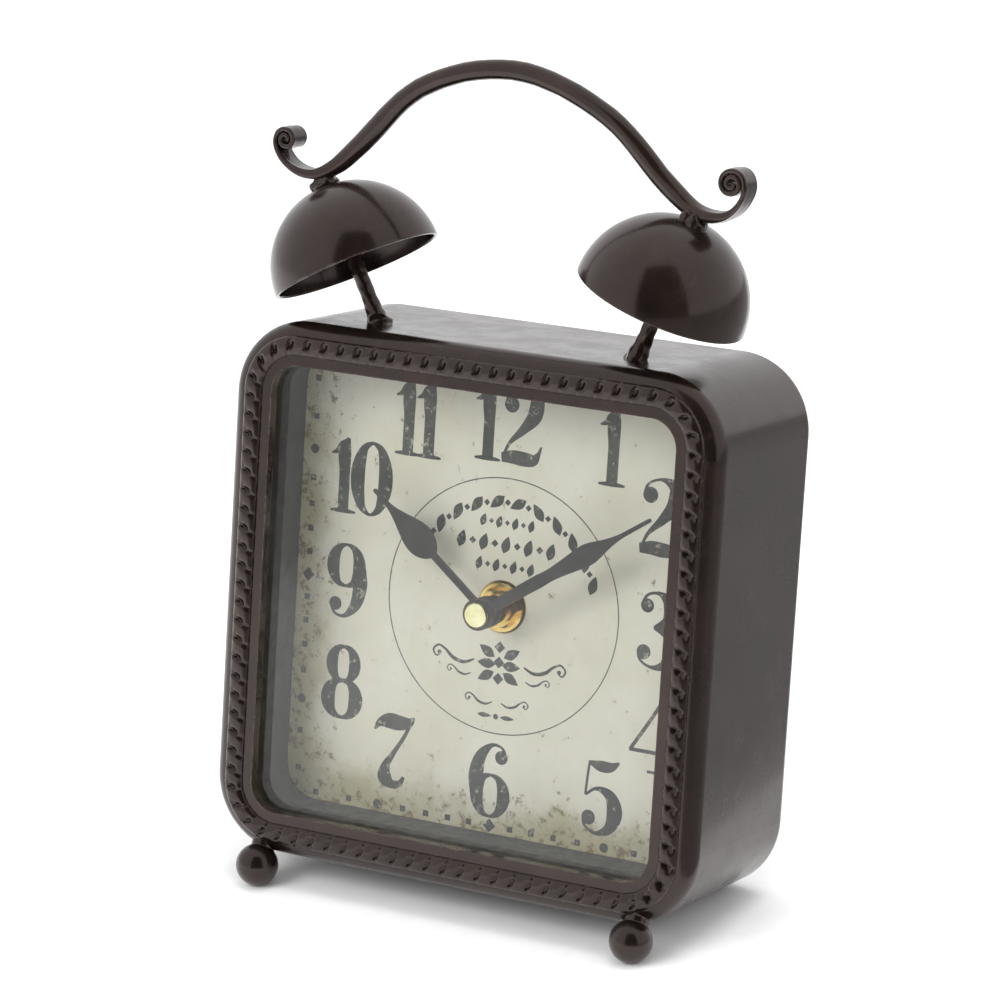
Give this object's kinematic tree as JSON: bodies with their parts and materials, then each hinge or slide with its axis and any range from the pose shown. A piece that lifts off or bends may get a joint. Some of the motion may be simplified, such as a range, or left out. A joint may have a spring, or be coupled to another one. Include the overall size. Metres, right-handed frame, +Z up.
{
  "type": "table clock",
  "caption": "Square metal table clock with rope-moulded bezel, fixed half-ball bells, scrolled carrying handle, ball feet and a quartz movement with turning hands.",
  "frame": {"origin": "on the table surface, under the middle of the clock's bounding box", "axes": "+X to the right as the dial is read, +Y from the front to the back, +Z up"},
  "size_m": [0.15, 0.0904, 0.2296],
  "materials": {
    "bronze_paint": "satin dark bronze paint, worn",
    "dark_paint": "satin black paint",
    "grey_paint": "matt grey paint",
    "clear_glass": "clear polished",
    "dial_print": "printed, matt, aged",
    "fibreboard": "raw pressed board",
    "zinc_steel": "zinc plated",
    "black_plastic": "fine spark texture",
    "white_nylon": "moulded",
    "yellow_brass": "polished",
    "copper_wire": "enamelled copper",
    "soft_iron": "plain",
    "green_board": "solder mask",
    "black_rubber": "moulded",
    "hand_black": "matt black paint",
    "cell_label": "plain printed sleeve",
    "bright_plate": "nickel plated"
  },
  "bodies": {
    "case": {"case_shell": "bronze_paint", "rope_trim": "bronze_paint", "glass_pane": "clear_glass", "inner_frame": "grey_paint", "dial_paper": "dial_print", "dial_plate": "fibreboard", "dial_brackets": "zinc_steel", "dial_screws": "zinc_steel", "back_cover": "dark_paint", "back_screws": "zinc_steel", "handle": "bronze_paint", "movement_front_case": "black_plastic", "movement_back_case": "black_plastic", "movement_gasket": "black_rubber", "spindle_bushing": "yellow_brass", "dial_washer": "yellow_brass", "dial_nut": "yellow_brass", "stator": "soft_iron", "coil": "copper_wire", "coil_core": "soft_iron", "circuit_board": "green_board", "quartz_crystal": "bright_plate", "foot_left": "bronze_paint", "post_left": "bronze_paint", "bell_left": "bronze_paint", "crown_weld_left": "bronze_paint", "battery_contact_left": "bright_plate", "foot_right": "bronze_paint", "post_right": "bronze_paint", "bell_right": "bronze_paint", "crown_weld_right": "bronze_paint", "battery_contact_right": "bright_plate"},
    "minute_arbor": {"minute_hand": "hand_black", "hand_nut": "yellow_brass", "cannon_pinion": "yellow_brass"},
    "hour_pipe": {"hour_hand": "hand_black", "hour_wheel": "yellow_brass"},
    "minute_idler": {"minute_wheel": "white_nylon"},
    "knob": {"setting_knob": "black_plastic"},
    "centre": {"centre_wheel": "yellow_brass"},
    "third": {"third_wheel": "white_nylon"},
    "fourth": {"fourth_wheel": "white_nylon"},
    "fifth": {"fifth_wheel": "white_nylon"},
    "rotor_body": {"rotor": "white_nylon"},
    "battery": {"battery_aa": "cell_label"}
  },
  "joints": [
    {"name": "minute_hand_spin", "type": "hinge", "parent": "case", "child": "minute_arbor", "pos_m": [0, -0.00628, 0.08013], "axis": [0, 0.9861, -0.166], "continuous": true},
    {"name": "hour_hand_spin", "type": "hinge", "parent": "case", "child": "hour_pipe", "pos_m": [0, -0.00628, 0.08013], "axis": [0, 0.9861, -0.166], "continuous": true},
    {"name": "minute_wheel_spin", "type": "hinge", "parent": "case", "child": "minute_idler", "pos_m": [-0.0096, -0.00628, 0.08013], "axis": [0, 0.9861, -0.166], "continuous": true},
    {"name": "setting_knob_spin", "type": "hinge", "parent": "case", "child": "knob", "pos_m": [-0.01724, -0.00501, 0.08766], "axis": [0, 0.9861, -0.166], "continuous": true},
    {"name": "fifth_wheel_spin", "type": "hinge", "parent": "case", "child": "fifth", "pos_m": [0.00685, -0.00474, 0.08925], "axis": [0, 0.9861, -0.166], "continuous": true},
    {"name": "rotor_spin", "type": "hinge", "parent": "case", "child": "rotor_body", "pos_m": [0.0106, -0.00438, 0.09138], "axis": [0, 0.9861, -0.166], "continuous": true},
    {"name": "fourth_wheel_spin", "type": "hinge", "parent": "case", "child": "fourth", "pos_m": [0.00189, -0.0046, 0.09011], "axis": [0, 0.9861, -0.166], "continuous": true},
    {"name": "third_wheel_spin", "type": "hinge", "parent": "case", "child": "third", "pos_m": [-0.0045, -0.00498, 0.08782], "axis": [0, 0.9861, -0.166], "continuous": true},
    {"name": "centre_wheel_spin", "type": "hinge", "parent": "case", "child": "centre", "pos_m": [0, -0.00628, 0.08013], "axis": [0, 0.9861, -0.166], "continuous": true},
    {"name": "battery_slide", "type": "slide", "parent": "case", "child": "battery", "axis": [0, 0.9861, -0.166], "range_m": [0, 0.03]}
  ],
  "couplings": [
    {"joint": "hour_hand_spin", "follows": "minute_hand_spin", "ratio": 0.083333},
    {"joint": "minute_wheel_spin", "follows": "minute_hand_spin", "ratio": -0.33333},
    {"joint": "setting_knob_spin", "follows": "minute_hand_spin", "ratio": 0.66667},
    {"joint": "rotor_spin", "follows": "fifth_wheel_spin", "ratio": -5},
    {"joint": "fourth_wheel_spin", "follows": "fifth_wheel_spin", "ratio": -0.16667},
    {"joint": "third_wheel_spin", "follows": "fifth_wheel_spin", "ratio": 0.022222},
    {"joint": "centre_wheel_spin", "follows": "fifth_wheel_spin", "ratio": -0.0027778}
  ]
}
